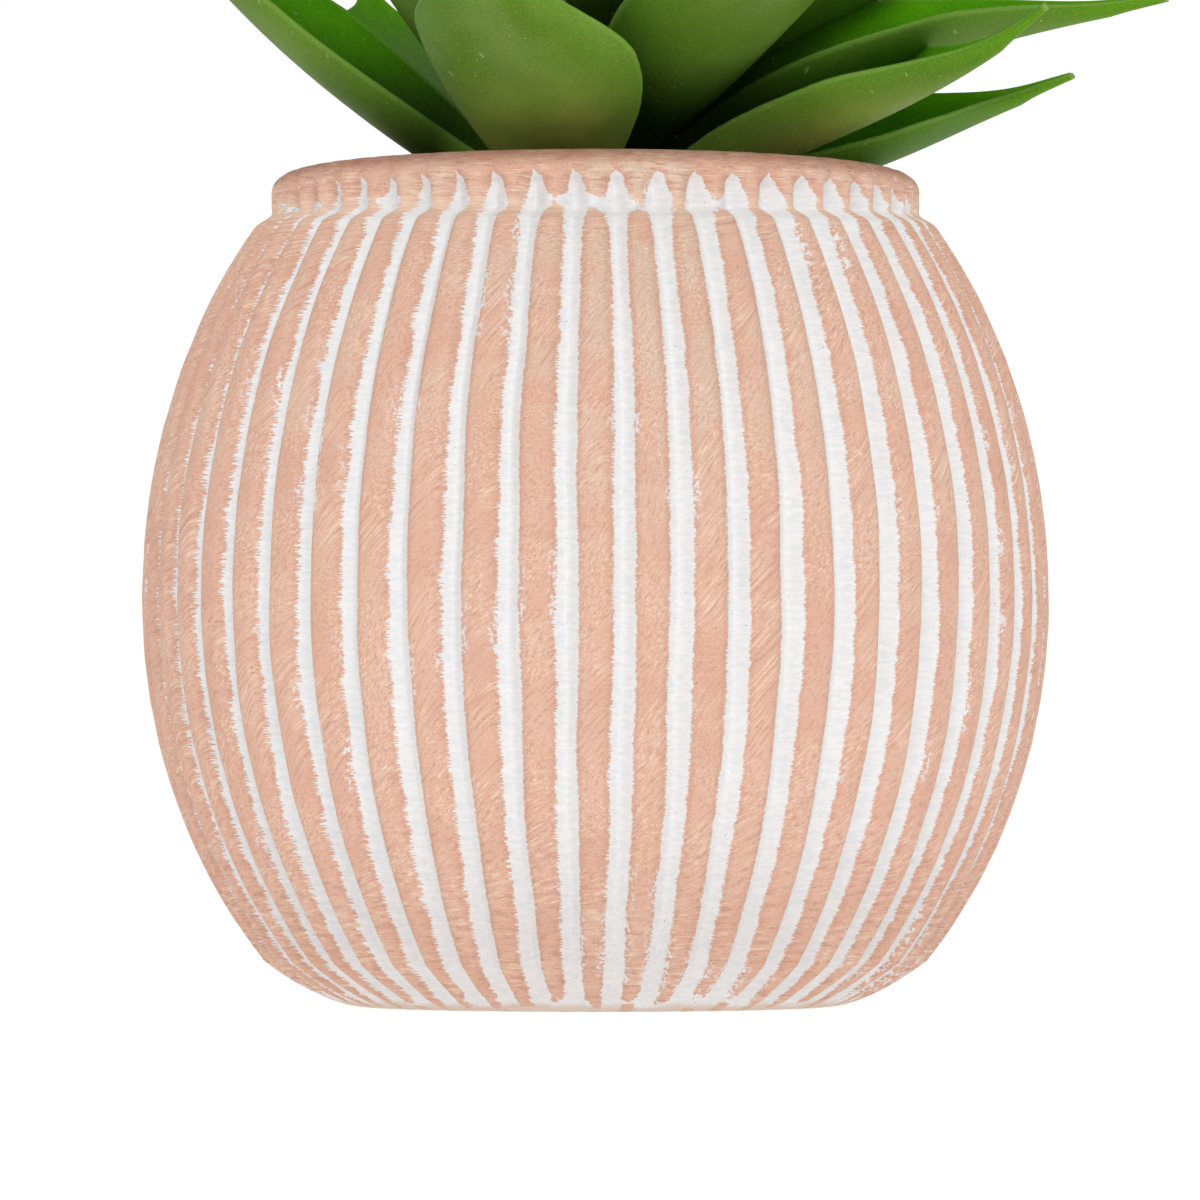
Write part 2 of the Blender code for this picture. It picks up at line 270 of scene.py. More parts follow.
class Shader:
    """A material with a Principled shader, and short calls that add nodes to it."""

    def __init__(self, name):
        self.material = bpy.data.materials.new(name)
        self.material.use_nodes = True
        self.tree = self.material.node_tree
        self.surface = self.tree.nodes["Principled BSDF"]

    def feed(self, socket, value):
        if isinstance(value, Wire):
            self.tree.links.new(value.socket, socket)
        else:
            socket.default_value = value

    def node(self, kind, inputs, **settings):
        node = self.tree.nodes.new("ShaderNode" + kind)
        for key, value in settings.items():
            setattr(node, key, value)
        for key, value in inputs.items():
            self.feed(node.inputs[key], value)
        return node

    def math(self, operation, *values):
        node = self.node("Math", dict(enumerate(values)), operation=operation)
        return Wire(self, node.outputs[0])

    def least(self, a, b):
        return self.math("MINIMUM", a, b)

    def most(self, a, b):
        return self.math("MAXIMUM", a, b)

    def step(self, value, low, high):
        """Runs smoothly from 0 to 1 as the value goes from low to high."""
        inputs = {"Value": value, "From Min": low, "From Max": high}
        node = self.node("MapRange", inputs, interpolation_type="SMOOTHSTEP")
        return Wire(self, node.outputs["Result"])

    def peak(self, value, middle, width):
        """1 where the value is at the middle, and 0 at the width from it and beyond."""
        return self.step(self.math("ABSOLUTE", value - middle), width, 0.0)

    def blend(self, share, a, b, how="MIX"):
        """The colour a, moved towards the colour b by a share."""
        node = self.node("Mix", {0: share, 6: a, 7: b}, data_type="RGBA", blend_type=how)
        return Wire(self, node.outputs[2])

    def point(self, x, y, z=0.0):
        node = self.node("CombineXYZ", {"X": x, "Y": y, "Z": z})
        return Wire(self, node.outputs["Vector"])

    def parts(self, vector):
        node = self.node("SeparateXYZ", {"Vector": vector})
        return [Wire(self, output) for output in node.outputs]

    def place(self):
        """The point's x, y and z in millimetres."""
        node = self.node("TexCoord", {})
        scaled = self.node("VectorMath", {0: Wire(self, node.outputs["Object"])}, operation="SCALE")
        scaled.inputs["Scale"].default_value = 1.0 / MM
        return Wire(self, scaled.outputs["Vector"])

    def uv(self, name):
        node = self.node("UVMap", {}, uv_map=name)
        return self.parts(Wire(self, node.outputs["UV"]))[:2]

    def attribute(self, name):
        node = self.node("Attribute", {}, attribute_name=name)
        return Wire(self, node.outputs["Fac"])

    def noise(self, vector, scale=1.0, detail=2.0, roughness=0.5):
        inputs = {"Vector": vector, "Scale": scale, "Detail": detail, "Roughness": roughness}
        node = self.node("TexNoise", inputs)
        return Wire(self, node.outputs["Fac"])

    def specks(self, vector, scale, size, share):
        """Small round spots: 1 inside a spot. Only a share of the cells has one."""
        node = self.node("TexVoronoi", {"Vector": vector, "Scale": scale, "Randomness": 1.0})
        near = self.step(Wire(self, node.outputs["Distance"]), size, 0.6 * size)
        pick = self.parts(Wire(self, node.outputs["Color"]))[0]
        return near * self.step(pick, share, 0.7 * share)

    def relief(self, height, depth):
        """Bump from a height that runs from 0 to 1, where 1 stands for a depth in millimetres."""
        inputs = {"Height": height, "Distance": depth * MM, "Strength": 1.0}
        node = self.node("Bump", inputs)
        self.feed(self.surface.inputs["Normal"], Wire(self, node.outputs["Normal"]))

    def finish(self, **inputs):
        """Sets the shader's own inputs, with underscores for the spaces in their names."""
        for name, value in inputs.items():
            self.feed(self.surface.inputs[name.replace("_", " ")], value)
        return self.material


def painted_cement():
    """Rough terracotta-coloured ribs, with whitewash brushed into the grooves."""
    shader = Shader("painted_cement")
    turns, height = shader.uv("ribs")
    from_crease = height + shader.attribute("crease_drop") - NECK_HEIGHT
    place = shader.place()
    x, y, _ = shader.parts(place)
    pitch = shader.math("SQRT", x * x + y * y) * (2.0 * math.pi / RIB_COUNT)
    groove = shader.math("ROUND", turns)
    across = (turns - groove) * pitch
    rib = shader.math("FLOOR", turns)
    over = (turns - rib - 0.5) * pitch
    density = shader.noise(place, scale=0.13, detail=2.0)

    white, reach, edge = whitewash(shader, place, turns, groove, across, height, from_crease)
    grain = shader.noise(place, scale=4.0, detail=2.0, roughness=0.7)
    clay = brushed_clay(shader, place, rib, over, height, from_crease, reach - edge, density, grain)
    wash = shader.noise(shader.point(across * 0.7, height * 1.9, groove), detail=2.0, roughness=0.6)
    paint = shader.blend(shader.step(wash, 0.3, 0.7), colour(229, 231, 233), colour(242, 240, 239))
    pinholes = shader.specks(place, 1.7, 0.14, 0.4)
    paint = shader.blend(pinholes * 0.65, paint, colour(168, 162, 160))
    surface = shader.blend(white, clay, paint)
    pits = shader.specks(place, 0.8, 0.09, 0.14)
    surface = shader.blend(pits * 0.8, surface, colour(140, 90, 66))
    # Painted shade: the whole surface is multiplied darker towards the foot
    low = shader.step(height, 30.0, 0.0)
    surface = shader.blend(low * 0.3, surface, colour(206, 200, 194), how="MULTIPLY")
    dirt = shader.step(height + 2.0 * (density - 0.5), 1.3, 0.4)
    surface = shader.blend(dirt * 0.7, surface, colour(204, 178, 156))

    shader.relief(grain, 0.12)
    return shader.finish(Base_Color=surface, Roughness=0.85 - 0.1 * white, Specular_IOR_Level=0.25)


def whitewash(shader, place, turns, groove, across, height, from_crease):
    """Where the whitewash covers, and its edge: both as distances from the middle of a groove."""
    x, y, _ = shader.parts(place)
    left = shader.step(across, 0.3, -0.3)
    reach = shader.math("ABSOLUTE", across)
    wander = shader.noise(shader.point(groove * 7.7, height * 0.16, left * 3.0), detail=2.0)
    scallop = shader.noise(shader.point(across * 0.6, height * 0.9, groove * 5.1), detail=1.0)
    belly = shader.peak(height, 41.7, 60.0)
    lean = STRIPE_LEAN * (1.0 - 2.0 * left) * shader.step(height, 6.0, 48.0)
    lean = lean * (1.0 + shader.step(from_crease, -1.5, 1.0))
    lean = lean + 0.1 * left * shader.step(height, 30.0, 60.0)
    edge = STRIPE_HALF_WIDTH + lean + 0.34 * belly + 0.55 * (wander - 0.5) + 0.4 * (scallop - 0.5)

    # Bristle marks: long and thin on the left, short on the right
    bristle = shader.noise(shader.point(across * 0.3 + groove * 3.3, height * 3.0), detail=1.0)
    bristle = 1.0 - shader.math("ABSOLUTE", bristle - 0.5) * 9.0
    bristle = shader.math("POWER", shader.most(bristle, 0.0), 1.4)
    vigour = shader.noise(shader.point(groove * 2.1, height * 0.3, 9.0 + left), detail=1.0)
    vigour = shader.step(vigour, 0.3, 0.7) * shader.step(from_crease, 1.5, -1.5)
    edge = edge + bristle * (0.16 + left * 0.42 * vigour)
    fray = shader.noise(shader.point(across * 1.5 + groove * 2.0, height * 4.0), detail=2.0)
    edge = edge + 0.5 * (fray - 0.5)

    # The stripes swell at the crease under the rim band, and end bluntly under the lip
    neck = shader.peak(from_crease, 0.4, 4.4)
    edge = edge + neck * (0.55 + 0.9 * (fray - 0.5))
    tip = TIP_HEIGHT + 1.2 * (wander - 0.5) + 0.8 * (scallop - 0.5)
    blunt = shader.step(height - tip, 0.15, -0.9)
    edge = edge * (1.0 - 0.42 * shader.step(height - tip, -4.5, 0.0))
    edge = edge * shader.math("POWER", blunt, 0.5) - 0.2 * (1.0 - blunt)

    # At the front and near the foot the whitewash runs on from one groove to the next
    bridge = shader.noise(shader.point(turns * 0.9 + 20.3, from_crease * 0.3), detail=2.0)
    front = shader.peak(x, 1.0, 13.0) * shader.step(y, 0.0, -20.0)
    bridge = bridge + 0.25 * fray + 0.16 * front
    crossing = shader.peak(from_crease, 0.2, 1.5) * shader.step(bridge, 0.68, 0.8)
    patches = shader.noise(place, scale=0.16, detail=2.0, roughness=0.65)
    foot = shader.step(height, 10.0, 0.5)
    sole = shader.step(height + 1.5 * bristle, 3.0, 1.2) * shader.step(patches, 0.48, 0.62)
    edge = edge + crossing * 3.0 + foot * 0.6 * (patches - 0.35) + sole * 3.0
    white = shader.step(reach - edge, 0.09, -0.09)

    # Stippled patches beside the stripes, and stray dabs
    crumbs = shader.noise(place, scale=1.6, detail=2.0, roughness=0.6)
    stipple = shader.noise(place, scale=0.07, detail=1.0) + 0.1 * foot
    stipple = shader.step(stipple, 0.60, 0.68) * shader.step(reach - edge, 1.2, 0.2)
    white = shader.most(white, shader.step(crumbs, 0.52, 0.56) * stipple)
    dabs = shader.step(crumbs, 0.76, 0.78) * shader.step(height, 107.0, 104.0)
    return shader.most(white, dabs), reach, edge


def brushed_clay(shader, place, rib, over, height, from_crease, beyond, density, grain):
    """The bare clay: beige on the crests, pinker beside the whitewash where painted shade also darkens
    the rib flanks, with dry brush strokes.
    """
    tone = shader.noise(place, scale=0.1, detail=2.0, roughness=0.6)
    clay = shader.blend(shader.step(tone, 0.35, 0.68), colour(225, 163, 135), colour(234, 177, 150))
    crest = shader.step(beyond, 0.2, 1.2)
    upper = shader.step(height, 48.0, 90.0)
    x, y, _ = shader.parts(place)
    front = shader.peak(x, 9.0, 26.0) * shader.step(y, 0.0, -20.0)
    beige = crest * shader.step(tone + 0.08 * front, 0.46, 0.62)
    beige = beige * (0.2 + 0.3 * upper + 0.5 * upper * front)
    clay = shader.blend(beige * 0.8, clay, colour(212, 189, 164))
    # Pinker clay beside the whitewash, darkened there as painted shade on the rib flanks
    flank_tint_and_shade = shader.step(beyond, 0.8, 0.0) * shader.step(height, 107.5, 105.5)
    clay = shader.blend(flank_tint_and_shade * 0.6, clay, colour(212, 146, 118))

    # Pale strokes of the brush: level at the rim, and rising to the right further down
    slant = shader.step(height, 104.0, 92.0) * shader.step(height, 8.0, 34.0)
    turn = shader.noise(place, scale=0.05, detail=1.0) * slant * 2.3
    lift = height - over * turn
    run = over + height * turn
    strokes = shader.noise(shader.point(run * 0.38, lift * 1.6, rib * 4.0), detail=3.0, roughness=0.65)
    clay = shader.blend(shader.step(strokes, 0.5, 0.34), clay, colour(198, 138, 112))
    light = shader.step(strokes, 0.52, 0.66) * shader.step(density, 0.34, 0.58)
    clay = shader.blend(light * 0.8, clay, colour(244, 214, 184))
    hairs = shader.noise(shader.point(run * 0.42, lift * 4.2, rib * 9.0), detail=1.0)
    crease = shader.peak(from_crease, 0.0, 2.5)
    cream = shader.step(hairs, 0.6, 0.68) * shader.step(density + 0.2 * crease, 0.38, 0.56)
    clay = shader.blend(cream * 0.85, clay, colour(254, 232, 200))
    lines = shader.noise(shader.point(over * 0.2, height * 4.5, rib * 3.0 + 50.0), detail=1.0)
    level = 0.35 + 0.6 * shader.step(height, 98.0, 104.0)
    clay = shader.blend(shader.step(lines, 0.6, 0.72) * level, clay, colour(250, 222, 194))
    clay = shader.blend(0.4, clay, shader.blend(grain, colour(158, 104, 82), colour(255, 240, 226)))
    clay = shader.blend(crease * 0.5, clay, colour(246, 216, 194))
    # The lip band is multiplied darker: partly the clay's colour, partly painted shade under the
    # leaves
    rim = shader.step(height, 106.8, 109.6)
    clay = shader.blend(rim, clay, colour(214, 196, 190), how="MULTIPLY")
    edge = shader.step(height, 110.4, 110.9)
    return shader.blend(edge * 0.7, clay, colour(150, 128, 106))


def bare_cement():
    """The unpainted inside of the mouth and the underside."""
    shader = Shader("bare_cement")
    place = shader.place()
    tone = shader.noise(place, scale=0.12, detail=2.0, roughness=0.6)
    grain = shader.noise(place, scale=3.0, detail=2.0, roughness=0.6)
    clay = shader.blend(shader.step(tone, 0.3, 0.7), colour(188, 140, 116), colour(206, 162, 138))
    clay = shader.blend(shader.step(grain, 0.35, 0.75) * 0.4, clay, colour(226, 190, 164))
    pits = shader.specks(place, 0.5, 0.2, 0.4)
    clay = shader.blend(pits * 0.7, clay, colour(120, 86, 68))
    shader.relief(grain, 0.15)
    return shader.finish(Base_Color=clay, Roughness=0.9, Specular_IOR_Level=0.3)


def leaf_skin():
    """Smooth, rubbery leaf: vivid above, duller below, and darkened by painted shade deep in the
    rosette.
    """
    shader = Shader("leaf_skin")
    across, along = shader.uv("leaf")
    under = shader.attribute("under")
    seed = shader.attribute("seed")
    warmth = shader.attribute("warmth")
    grey = shader.attribute("grey")
    place = shader.place()
    x, y, height = shader.parts(place)
    radius = shader.math("SQRT", x * x + y * y)
    inner = shader.step(seed, 6.0 * SEED_STEP, 7.0 * SEED_STEP)
    margin = shader.math("ABSOLUTE", across)
    mottle = shader.noise(shader.point(along * 7.0, across * 1.6, seed * 17.0), detail=2.0)
    patch = shader.step(mottle, 0.32, 0.68)
    fine = shader.step(shader.noise(place, scale=4.4, detail=2.0, roughness=0.75), 0.34, 0.66)

    # The upper face is darkened by painted shade in its channel and near its root
    upper = shader.blend(patch, colour(60, 144, 0), colour(82, 167, 0))
    channel_shade = shader.step(margin, 0.95, 0.3)
    upper = shader.blend(channel_shade * 0.5, upper, colour(34, 112, 0))
    upper = shader.blend(shader.step(along, 0.6, 0.22) * 0.85, upper, colour(8, 38, 0))

    # The lower face is olive low down, or a deeper green there as painted shade, paler at its edges,
    # with a painted sheen along its midrib and painted shade on one side
    lower = shader.blend(patch, colour(92, 126, 42), colour(108, 140, 58))
    # Painted shade: a darker, deeper green low down on leaves without warmth
    low_shade_green = shader.step(height, 128.0, 114.0) * (1.0 - warmth)
    lower = shader.blend(low_shade_green * 0.5, lower, colour(44, 104, 0))
    warm = shader.step(height, 122.0, 111.0) * warmth
    lower = shader.blend(warm * (0.7 + 0.4 * patch), lower, colour(182, 190, 92))
    # Painted sheen: a pale grey band along the underside's midrib
    midrib_sheen = shader.step(margin, 0.45, 0.0) * shader.step(along, 0.4, 0.6)
    lower = shader.blend(midrib_sheen * 0.12, lower, colour(172, 176, 140))
    rim = shader.step(margin, 0.5, 0.98)
    lower = shader.blend(rim * 0.5, lower, colour(108, 150, 52))
    # Painted shade: the underside is deeper green towards its margin on the -across side
    left = shader.step(across, -0.25, -0.9)
    lower = shader.blend(left * 0.4, lower, colour(50, 104, 0))
    skin = shader.blend(under, upper, lower)
    skin = shader.blend(grey * shader.step(along, 0.9, 0.55), skin, colour(112, 130, 88))

    # Both faces: a brighter tip half, a pale seam, fine grain, shade on the left and in the middle
    bright = shader.step(along, 0.66, 0.95)
    skin = shader.blend(bright * 0.5, skin, colour(100, 168, 10))
    seam = shader.step(margin, 0.95, 0.985)
    skin = shader.blend(seam * 0.4, skin, colour(136, 180, 84))
    skin = shader.blend(0.22, skin, shader.blend(fine, colour(36, 68, 0), colour(138, 174, 44)))
    side = shader.step(x, -14.0, -22.0) * shader.step(height, 128.0, 112.0)
    side = side * (0.85 - 0.55 * under * shader.step(along, 0.2, 0.34))
    skin = shader.blend(side, skin, colour(8, 34, 0))
    deep = inner * shader.step(radius, 34.0, 17.0) * shader.step(height, 160.0, 128.0)
    skin = shader.blend(deep * 0.9, skin, colour(6, 30, 0))
    tip = shader.step(along, 0.985, 1.0)
    skin = shader.blend(tip * 0.5, skin, colour(180, 184, 130))

    # Dust, and short pale scratches
    dusty = shader.noise(place, scale=0.06, detail=1.0)
    dust = shader.specks(place, 0.9, 0.12, 0.6) * shader.step(dusty, 0.38, 0.6)
    lint = shader.noise(shader.point(along * 60.0, across * 8.0, seed * 31.0), detail=1.0)
    scratch = shader.step(lint, 0.76, 0.79)
    dust = shader.most(dust, scratch * 0.6)
    skin = shader.blend(dust * 0.6, skin, colour(190, 205, 150))
    shader.relief(fine, 0.04)
    return shader.finish(
        Base_Color=skin,
        Roughness=0.85 - 0.4 * under + 0.1 * fine,
        Specular_IOR_Level=0.05,
    )


def potting_mix():
    """Dark, crumbly soil with paler flecks of bark."""
    shader = Shader("potting_mix")
    place = shader.place()
    clods = shader.noise(place, scale=0.5, detail=5.0, roughness=0.7)
    fleck = shader.noise(place, scale=1.3, detail=2.0)
    soil = shader.blend(shader.step(clods, 0.35, 0.7), colour(34, 24, 17), colour(78, 58, 42))
    soil = shader.blend(shader.step(fleck, 0.62, 0.7) * 0.7, soil, colour(128, 98, 68))
    shader.relief(clods, 0.6)
    return shader.finish(Base_Color=soil, Roughness=0.95, Specular_IOR_Level=0.2)


def stem_skin():
    """The woody green core that the leaves grow from."""
    shader = Shader("stem_skin")
    place = shader.place()
    x, y, z = shader.parts(place)
    fibres = shader.noise(shader.point(x * 2.0, y * 2.0, z * 0.3), detail=4.0)
    skin = shader.blend(shader.step(fibres, 0.35, 0.65), colour(74, 84, 28), colour(122, 128, 52))
    shader.relief(fibres, 0.2)
    return shader.finish(Base_Color=skin, Roughness=0.6, Specular_IOR_Level=0.4)


def pot_radius(height):
    """The outer radius over the ridges of the ribs, from the base to the rim band."""
    if height >= NECK_HEIGHT:
        return BAND_RADIUS
    half = BELLY_RISE if height > BELLY_HEIGHT else BELLY_DROP
    drop = height - BELLY_HEIGHT
    radius = BELLY_RADIUS * math.sqrt(1.0 - (drop / half) ** 2)
    if height >= FOOT_HEIGHT:
        return max(radius, BAND_RADIUS)
    foot_radius = pot_radius(FOOT_HEIGHT)
    return mix(BASE_RADIUS, foot_radius, (height / FOOT_HEIGHT) ** FOOT_BULGE)


def groove_depth(height):
    """How deep the grooves are at a height: they fade out at the foot and below the lip."""
    foot = smooth_step(height / GROOVE_FOOT)
    top = smooth_step((GROOVE_TOP - height) / (GROOVE_TOP - GROOVE_END))
    return GROOVE_DEPTH * foot * top


def band_foot(angle):
    """The height of the crease under the rim band, which dips towards the front."""
    return NECK_HEIGHT + 0.2 - BAND_DIP * max(0.0, math.cos(angle))


def outside_profile():
    """Radius and height of the pot's outside, from the top of the lip to the edge of the base."""
    profile = []
    lip_drop = POT_HEIGHT - SHOULDER_HEIGHT
    lip_width = BAND_RADIUS - LIP_RADIUS
    for step in range(9):
        angle = step / 8 * math.pi / 2
        height = SHOULDER_HEIGHT + lip_drop * math.cos(angle)
        profile.append((LIP_RADIUS + lip_width * math.sin(angle), height))
    heights = [
        *np.linspace(SHOULDER_HEIGHT - 0.4, NECK_HEIGHT - BELOW_BAND, 20),
        *np.linspace(NECK_HEIGHT - BELOW_BAND - 1.1, FOOT_HEIGHT, 50),
        *(share * FOOT_HEIGHT for share in FOOT_ROWS),
    ]
    return profile + [(pot_radius(height), height) for height in heights]


def inside_profile():
    """Radius and height of the mouth, from the top of the lip down to below the soil's top."""
    profile = []
    for step in range(5):
        angle = step / 4 * math.pi / 2
        radius = mix(INNER_LIP_RADIUS, MOUTH_RADIUS, math.sin(angle))
        profile.append((radius, POT_HEIGHT - INNER_LIP_DROP * (1.0 - math.cos(angle))))
    profile.append((MOUTH_RADIUS, SOIL_TOP + 3.0))
    profile.append((MOUTH_RADIUS, SOIL_TOP - 1.5))
    return profile


def pot_turn(column):
    """A column's place around the pot, counted in ribs, with the columns drawn to the grooves."""
    turn = column / POINTS_PER_RIB
    return turn - POINTS_DRAWN_IN * math.sin(2.0 * math.pi * turn)


def pot_point(turn, radius, height, ribbed):
    """A point of the pot. The grooves are where the turn is a whole number."""
    from_groove = abs(turn - round(turn))
    angle = FIRST_GROOVE + turn * 2.0 * math.pi / RIB_COUNT
    angle += RIB_DRIFT * smooth_step((math.sin(angle) + DRIFT_FROM) / (1.0 + DRIFT_FROM))
    if ribbed:
        around = Vector((math.cos(angle), math.sin(angle), 0.0)) * BELLY_RADIUS
        spot = around / WIDE_WAVE + Vector((0.0, 0.0, height / TALL_WAVE))
        crease = band_foot(angle)
        if height < crease:
            shoulder = smooth_step((crease - height) / SHOULDER_DROP) ** SHOULDER_POWER
            radius = mix(min(radius, BAND_RADIUS), radius, shoulder)
        else:
            radius = min(radius, BAND_RADIUS)
        aside = from_groove * 2.0 * math.pi / RIB_COUNT * radius
        depth = groove_depth(height) * (1.0 + DEPTH_SWING * noise.noise(spot * DEPTH_WAVES))
        if aside < GROOVE_HALF_WIDTH:
            radius -= depth * 0.5 * (1.0 + math.cos(math.pi * aside / GROOVE_HALF_WIDTH))
        radius -= RIB_CROWN * (1.0 - 2.0 * from_groove) ** 2
        radius -= CREASE_DEPTH * bump(height, crease, CREASE_WIDTH)
        skin_spot = around / SKIN_WAVE + Vector((0.0, 0.0, height / SKIN_TALL_WAVE))
        radius -= SKIN_SWING * (0.5 + noise.noise(skin_spot))
        angle += RIB_SWING * noise.noise(spot) * math.pi / RIB_COUNT
    return (math.sin(angle) * radius * MM, -math.cos(angle) * radius * MM, height * MM)


def new_object(name, vertices, faces):
    mesh = bpy.data.meshes.new(name)
    mesh.from_pydata(vertices, [], faces)
    mesh.validate()
    mesh.shade_smooth()
    obj = bpy.data.objects.new(name, mesh)
    bpy.context.scene.collection.objects.link(obj)
    return obj


def make_pot():
    """The ribbed shell down to the base, with its lip, its mouth and its flat underside."""
    outside = outside_profile()
    inside = inside_profile()
    rings = inside[::-1] + outside
    columns = RIB_COUNT * POINTS_PER_RIB
    vertices = []
    for index, (radius, height) in enumerate(rings):
        ribbed = index >= len(inside)
        for column in range(columns):
            vertices.append(pot_point(pot_turn(column), radius, height, ribbed))
    faces = []
    for ring in range(len(rings) - 1):
        for column in range(columns):
            beyond = (column + 1) % columns
            upper = ring * columns
            lower = upper + columns
            faces.append((upper + column, lower + column, lower + beyond, upper + beyond))
    walls = len(faces)
    base = (len(rings) - 1) * columns
    faces.append([base + column for column in range(columns)][::-1])
    faces.append(list(range(columns)))
    pot = new_object("pot_shell", vertices, faces)
    mesh = pot.data
    mesh.materials.append(painted_cement())
    mesh.materials.append(bare_cement())
    first_painted = (len(inside) - 1) * columns
    layer = mesh.uv_layers.new(name="ribs")
    for polygon in mesh.polygons:
        if polygon.index < first_painted or polygon.index >= walls:
            polygon.material_index = 1
            continue
        for corner in polygon.loop_indices:
            vertex = mesh.loops[corner].vertex_index
            column = vertex % columns
            if column == 0 and polygon.index % columns == columns - 1:
                column = columns
            layer.data[corner].uv = (pot_turn(column), mesh.vertices[vertex].co.z / MM)
    drops = [NECK_HEIGHT - band_foot(math.atan2(v.co.x, -v.co.y)) for v in mesh.vertices]
    mesh.attributes.new("crease_drop", "FLOAT", "POINT").data.foreach_set("value", drops)
    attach(pot, "root")
    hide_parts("pot")
    return pot


def inner_leaves():
    """The upper whorls: each leaf turns by the golden angle, steeper and smaller than the last."""
    first = FIRST_INNER_LEAF
    last = LAST_INNER_LEAF
    leaves = []
    for index in range(INNER_LEAVES):
        share = index / (INNER_LEAVES - 1)
        leaf = Leaf(
            azimuth=first.azimuth + GOLDEN_ANGLE * index,
            rise=tuple(mix(a, b, share) for a, b in zip(first.rise, last.rise)),
            length=mix(first.length, last.length, share),
            width=mix(first.width, last.width, share),
            root_height=mix(first.root_height, last.root_height, share),
            thickness=mix(first.thickness, last.thickness, share),
            warmth=0.0,
        )
        leaves.append(leaf)
    return leaves


def stem_radius(height):
    """The stem is straight up to its shoulder, and then tapers to its top."""
    taper = (height - STEM_SHOULDER) / (STEM_TOP - STEM_SHOULDER)
    return mix(STEM_RADIUS, STEM_TOP_RADIUS, min(1.0, max(0.0, taper)))


def leaf_rise(leaf, along):
    """The slope of the midrib, on a parabola through its three given angles."""
    root, middle, tip = leaf.rise
    slope = root * (1.0 - along) * (1.0 - 2.0 * along)
    slope += middle * 4.0 * along * (1.0 - along)
    slope += tip * along * (2.0 * along - 1.0)
    return math.radians(slope)


def leaf_spine(leaf):
    """Distance from the axis, height and slope of the midrib, at even steps along it."""
    step = leaf.length / SPINE_STEPS
    reach = stem_radius(leaf.root_height) + CLEARANCE
    height = leaf.root_height
    spine = []
    for index in range(SPINE_STEPS + 1):
        spine.append((reach, height, leaf_rise(leaf, index / SPINE_STEPS)))
        middle = leaf_rise(leaf, (index + 0.5) / SPINE_STEPS)
        reach += math.cos(middle) * step
        height += math.sin(middle) * step
    return np.array(spine)


def leaf_half_width(leaf, along):
    """Half the width: narrow at the root, widest half way, drawn out to a point."""
    if along <= WIDEST_AT:
        share = mix(ROOT_SHARE, 1.0, math.sin(along / WIDEST_AT * math.pi / 2) ** ROOT_FLARE)
    else:
        beyond = (along - WIDEST_AT) / (1.0 - WIDEST_AT)
        blade = max(0.0, 1.0 - (beyond / BLADE_END) ** 2)
        tail = TAIL_SHARE * (1.0 - beyond) ** TAIL_TAPER + TIP_SHARE
        share = mix(blade, tail, smooth_step(beyond / TAIL_FROM))
    return share * leaf.width / 2


def leaf_thickness(leaf, along, across, half_width):
    """The blade is thickest at the midrib, thins to its margins and rounds off at them."""
    root = mix(ROOT_THICKNESS, 1.0, smooth_step(along / ROOT_END))
    middle = leaf.thickness * (1.0 - BLADE_TAPER * along**BLADE_TAPER_POWER) * root
    middle = min(middle, LEAST_THICKNESS + THICKNESS_PER_WIDTH * half_width)
    edge = min(middle, EDGE_THICKNESS * (1.0 - EDGE_TAPER * along))
    rounding = math.sqrt(max(0.0, 1.0 - across**EDGE_ROUNDING))
    return mix(middle, edge, across * across) * rounding


def leaf_cup(along):
    """Half the angle that the channelled blade bends through, from edge to edge."""
    near_root = ROOT_CUP * (1.0 - smooth_step(along / WIDEST_AT))
    near_tip = TIP_CUP * smooth_step((along - TIP_CUP_FROM) / (1.0 - TIP_CUP_FROM))
    return CUP * (1.0 + near_root + near_tip)


def margin_wave(leaf, along, side, seed):
    """How far the margin stands in from its line, in millimetres: lobes and small burrs."""
    out = along * leaf.length
    burrs = BURR_SIZE * (noise.noise(Vector((out / BURR_LENGTH, side * 5.0, seed))) + 1.0)
    drift = 3.0 * noise.noise(Vector((along * 9.0, side, seed)))
    lobes = leaf.wave * (1.0 - abs(math.sin(out / LOBE_LENGTH + drift)))
    fade = smooth_step((0.85 - along) / 0.2) * smooth_step(along / 0.2)
    return (burrs + lobes) * fade


def leaf_point(leaf, spine, along, across, seed):
    """A point of the leaf's upper face, for a leaf that points to the front."""
    place = along * SPINE_STEPS
    index = min(int(place), SPINE_STEPS - 1)
    reach, height, rise = mix(spine[index], spine[index + 1], place - index)
    plain_width = leaf_half_width(leaf, along)
    side = 1.0 if across > 0.0 else -1.0
    half_width = plain_width * (1.0 + max(0.0, leaf.spread * side) * abs(across))
    half_width = max(0.1, half_width - margin_wave(leaf, along, side, seed) * abs(across) ** 3)
    cup = leaf_cup(along)
    bend = cup * across
    sideways = half_width * math.sin(bend) / math.sin(cup)
    lift = half_width * (1.0 - math.cos(bend)) / math.sin(cup)
    lift += leaf.curl * max(0.0, across) ** 2 * plain_width * 2.0 / leaf.width
    roll = math.radians(leaf.roll) * smooth_step(along / 0.5)
    x = sideways * math.cos(roll) - lift * math.sin(roll)
    up = sideways * math.sin(roll) + lift * math.cos(roll)
    skew = 2.0 * leaf.bow * along / leaf.length
    y = -reach + up * math.sin(rise) + x * skew * math.cos(rise)
    z = height + up * math.cos(rise) - x * skew * math.sin(rise)
    return (x + leaf.bow * along * along, y, z)


